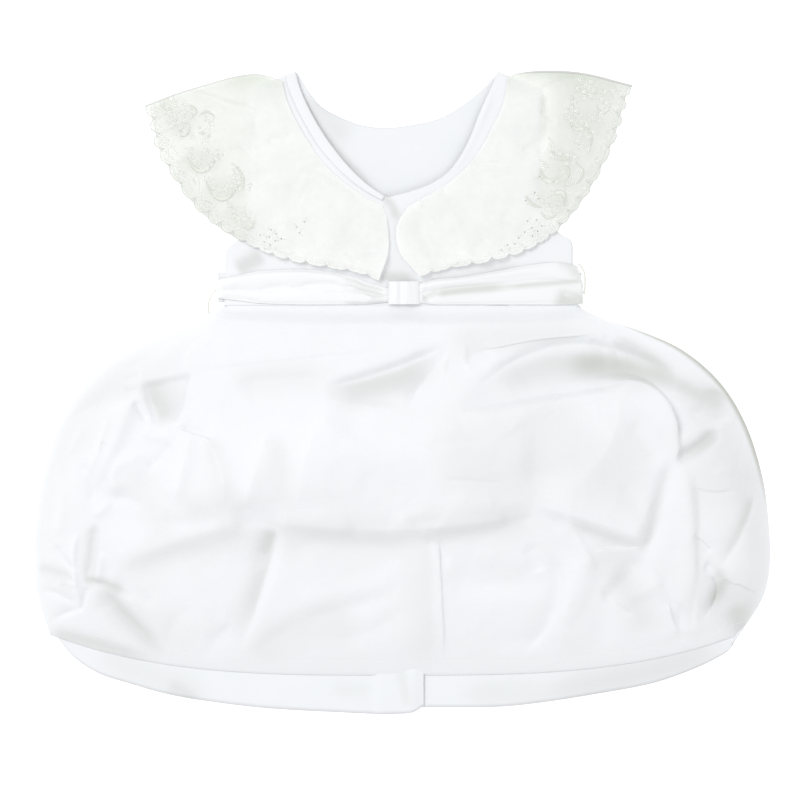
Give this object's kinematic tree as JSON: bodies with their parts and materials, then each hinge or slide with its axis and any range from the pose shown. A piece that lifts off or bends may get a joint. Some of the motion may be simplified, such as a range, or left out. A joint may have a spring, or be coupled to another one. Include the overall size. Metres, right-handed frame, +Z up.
{
  "type": "christening gown",
  "caption": "Baby's white christening gown laid flat: sheer lace-edged flounce collar, gathered sash and a full short skirt.",
  "frame": {"origin": "centre of the bounding box, on the surface that the gown lies on", "axes": "+X to the right of the flat gown seen from above, +Y towards the neck, +Z up from the surface"},
  "size_m": [0.5442, 0.4746, 0.0493],
  "materials": {
    "cotton": "soft plain-woven cotton",
    "cotton_inside": "plain-woven cotton, inner face",
    "organza": "sheer organza with eyelet lace border",
    "satin": "soft satin",
    "thread": "twisted cotton thread"
  },
  "bodies": {
    "root": {"bodice_front": "cotton", "bodice_back": "cotton_inside", "neck_binding": "cotton", "collar_front_left": "organza", "collar_front_right": "organza", "collar_back_left": "organza", "collar_back_right": "organza", "skirt_front": "cotton", "skirt_back_left": "cotton_inside", "skirt_back_right": "cotton_inside", "sash_left": "satin", "sash_right": "satin", "sash_knot": "satin", "sash_back": "satin", "belt_loop_left": "thread", "belt_loop_right": "thread"}
  },
  "joints": []
}
